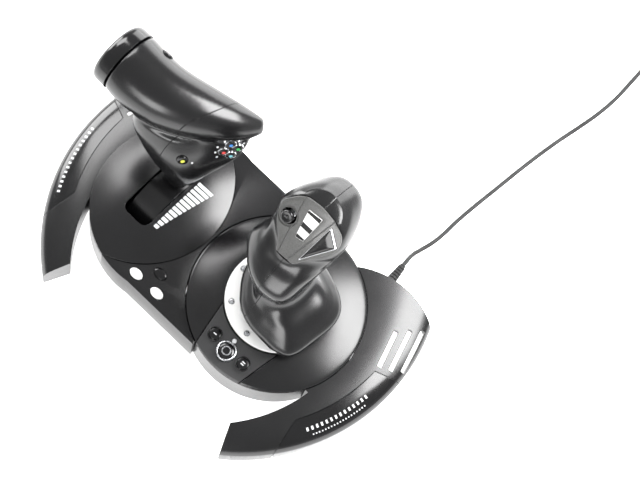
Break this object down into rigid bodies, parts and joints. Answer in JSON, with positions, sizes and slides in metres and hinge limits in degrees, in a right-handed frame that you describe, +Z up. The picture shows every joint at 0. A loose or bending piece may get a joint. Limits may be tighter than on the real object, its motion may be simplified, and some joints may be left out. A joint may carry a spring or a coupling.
{
  "type": "flight joystick",
  "caption": "Two-unit desk flight controller: sprung twist-grip stick on a round base, sliding throttle lever with button handle, swept wings and a USB lead.",
  "frame": {"origin": "centre of the footprint of the two bases and wings, on the desk, the lead left out", "axes": "+X from the throttle unit to the stick unit, +Y away from the user, +Z up"},
  "size_m": [0.3835, 0.6276, 0.2144],
  "materials": {
    "satin_black": "satin moulded plastic with a fine grain",
    "gloss_black": "polished plastic",
    "white_plastic": "smooth white plastic",
    "grey_panel": "fine metallic grey paint",
    "steel": "plain steel",
    "chrome": "polished",
    "rubber": "matt rubber",
    "board_green": "solder mask"
  },
  "bodies": {
    "console": {"stick_base_plate": "satin_black", "stick_base_wall": "satin_black", "stick_dome": "satin_black", "control_panel": "satin_black", "status_lens": "white_plastic", "guide_bezel": "chrome", "stick_circuit_board": "board_green", "gimbal_collar": "white_plastic", "collar_studs": "steel", "gimbal_housing": "satin_black", "pitch_sensor": "board_green", "centring_spring": "steel", "right_wing": "satin_black", "right_wing_inlay": "gloss_black", "left_wing": "satin_black", "left_wing_inlay": "gloss_black", "throttle_base_plate": "satin_black", "throttle_shell": "satin_black", "throttle_sensor": "board_green", "throttle_dome": "satin_black", "stick_foot_ring": "rubber", "throttle_foot_ring": "rubber", "strain_relief": "rubber", "cable": "rubber", "cable_coil": "rubber", "cable_tie": "satin_black", "usb_plug": "satin_black"},
    "yoke": {"gimbal_yoke": "steel", "roll_sensor": "board_green"},
    "shaft": {"stick_shaft": "steel", "stick_boot": "satin_black"},
    "grip": {"grip_base": "satin_black", "grip_left": "satin_black", "grip_right": "satin_black", "head_panel": "grey_panel"},
    "hat_carrier": {"hat_pivot": "steel"},
    "hat": {"hat_switch": "satin_black"},
    "centre_key": {"head_button_centre": "white_plastic"},
    "right_key": {"head_button_right": "gloss_black"},
    "trigger": {"trigger": "satin_black"},
    "guide_key": {"guide_button": "chrome"},
    "left_panel_key": {"panel_button_left": "satin_black"},
    "right_panel_key": {"panel_button_right": "satin_black"},
    "dial": {"stiffness_dial": "satin_black"},
    "left_deck_key": {"deck_button_left": "white_plastic"},
    "right_deck_key": {"deck_button_right": "white_plastic"},
    "upper_deck_key": {"deck_button_upper": "gloss_black"},
    "switch_knob": {"mode_switch": "satin_black"},
    "lever": {"throttle_lever": "satin_black", "throttle_axle": "steel", "handle_palm_shell": "satin_black", "handle_thumb_shell": "satin_black", "handle_end_cap": "gloss_black"},
    "top_thumb_key": {"thumb_button_top": "gloss_black"},
    "bottom_thumb_key": {"thumb_button_bottom": "gloss_black"},
    "left_thumb_key": {"thumb_button_left": "gloss_black"},
    "right_thumb_key": {"thumb_button_right": "gloss_black"},
    "lower_thumb_key": {"thumb_button_lower": "gloss_black"},
    "rear_key": {"rear_button": "satin_black"},
    "rocker": {"rudder_rocker": "satin_black"}
  },
  "joints": [
    {"name": "stick_pitch", "type": "hinge", "parent": "console", "child": "yoke", "pos_m": [0.0595, 0.0162, 0.025], "axis": [1, 0, 0], "range_deg": [-14, 14], "stiffness_Nm_per_rad": 4, "deforming": ["centring_spring"]},
    {"name": "stick_roll", "type": "hinge", "parent": "yoke", "child": "shaft", "pos_m": [0.0595, 0.0162, 0.025], "axis": [0, 1, 0], "range_deg": [-14, 14], "stiffness_Nm_per_rad": 4, "deforming": ["centring_spring"]},
    {"name": "stick_twist", "type": "hinge", "parent": "shaft", "child": "grip", "pos_m": [0.0595, 0.0162, 0.09], "axis": [0, 0, 1], "range_deg": [-12, 12], "stiffness_Nm_per_rad": 1},
    {"name": "hat_tilt_fore", "type": "hinge", "parent": "grip", "child": "hat_carrier", "pos_m": [0.0325, 0.0386, 0.191], "axis": [1, 0, 0], "range_deg": [-7, 7], "stiffness_Nm_per_rad": 0.05},
    {"name": "hat_tilt_side", "type": "hinge", "parent": "hat_carrier", "child": "hat", "pos_m": [0.0325, 0.0386, 0.191], "axis": [0, 0.6984, 0.7157], "range_deg": [-7, 7], "stiffness_Nm_per_rad": 0.05},
    {"name": "centre_key_press", "type": "slide", "parent": "grip", "child": "centre_key", "axis": [0, 0.7157, -0.6984], "range_m": [0, 0.001], "stiffness_N_per_m": 400},
    {"name": "right_key_press", "type": "slide", "parent": "grip", "child": "right_key", "axis": [0, 0.7157, -0.6984], "range_m": [0, 0.0012], "stiffness_N_per_m": 400},
    {"name": "trigger_pull", "type": "hinge", "parent": "grip", "child": "trigger", "pos_m": [0.0515, 0.0732, 0.1695], "axis": [-1, 0, 0], "range_deg": [0, 8], "stiffness_Nm_per_rad": 0.3},
    {"name": "guide_press", "type": "slide", "parent": "console", "child": "guide_key", "axis": [0, 0, -1], "range_m": [0, 0.001], "stiffness_N_per_m": 400},
    {"name": "left_panel_press", "type": "slide", "parent": "console", "child": "left_panel_key", "axis": [0, 0, -1], "range_m": [0, 0.001], "stiffness_N_per_m": 400},
    {"name": "right_panel_press", "type": "slide", "parent": "console", "child": "right_panel_key", "axis": [0, 0, -1], "range_m": [0, 0.001], "stiffness_N_per_m": 400},
    {"name": "dial_turn", "type": "hinge", "parent": "console", "child": "dial", "pos_m": [0.0595, 0.0162, 0.004], "axis": [0, 0, 1], "range_deg": [-135, 135]},
    {"name": "left_deck_press", "type": "slide", "parent": "console", "child": "left_deck_key", "axis": [0, 0, -1], "range_m": [0, 0.001], "stiffness_N_per_m": 400},
    {"name": "right_deck_press", "type": "slide", "parent": "console", "child": "right_deck_key", "axis": [0, 0, -1], "range_m": [0, 0.001], "stiffness_N_per_m": 400},
    {"name": "upper_deck_press", "type": "slide", "parent": "console", "child": "upper_deck_key", "axis": [0, 0, -1], "range_m": [0, 0.001], "stiffness_N_per_m": 400},
    {"name": "mode_slide", "type": "slide", "parent": "console", "child": "switch_knob", "axis": [1, 0, 0], "range_m": [-0.003, 0.003]},
    {"name": "throttle_swing", "type": "hinge", "parent": "console", "child": "lever", "pos_m": [-0.0825, 0.0162, 0.012], "axis": [1, 0, 0], "range_deg": [-9, 41]},
    {"name": "top_thumb_press", "type": "slide", "parent": "lever", "child": "top_thumb_key", "axis": [-0.7401, 0.6201, -0.2601], "range_m": [0, 0.001], "stiffness_N_per_m": 400},
    {"name": "bottom_thumb_press", "type": "slide", "parent": "lever", "child": "bottom_thumb_key", "axis": [-0.7401, 0.6201, -0.2601], "range_m": [0, 0.001], "stiffness_N_per_m": 400},
    {"name": "left_thumb_press", "type": "slide", "parent": "lever", "child": "left_thumb_key", "axis": [-0.7401, 0.6201, -0.2601], "range_m": [0, 0.001], "stiffness_N_per_m": 400},
    {"name": "right_thumb_press", "type": "slide", "parent": "lever", "child": "right_thumb_key", "axis": [-0.7401, 0.6201, -0.2601], "range_m": [0, 0.001], "stiffness_N_per_m": 400},
    {"name": "lower_thumb_press", "type": "slide", "parent": "lever", "child": "lower_thumb_key", "axis": [-0.7401, 0.6201, -0.2601], "range_m": [0, 0.001], "stiffness_N_per_m": 400},
    {"name": "rear_press", "type": "slide", "parent": "lever", "child": "rear_key", "axis": [0, -0.862, -0.507], "range_m": [0, 0.0012], "stiffness_N_per_m": 400},
    {"name": "rudder_rock", "type": "hinge", "parent": "lever", "child": "rocker", "pos_m": [-0.112, 0.0772, 0.132], "axis": [0, 0, 1], "range_deg": [-8, 8], "stiffness_Nm_per_rad": 0.2}
  ]
}
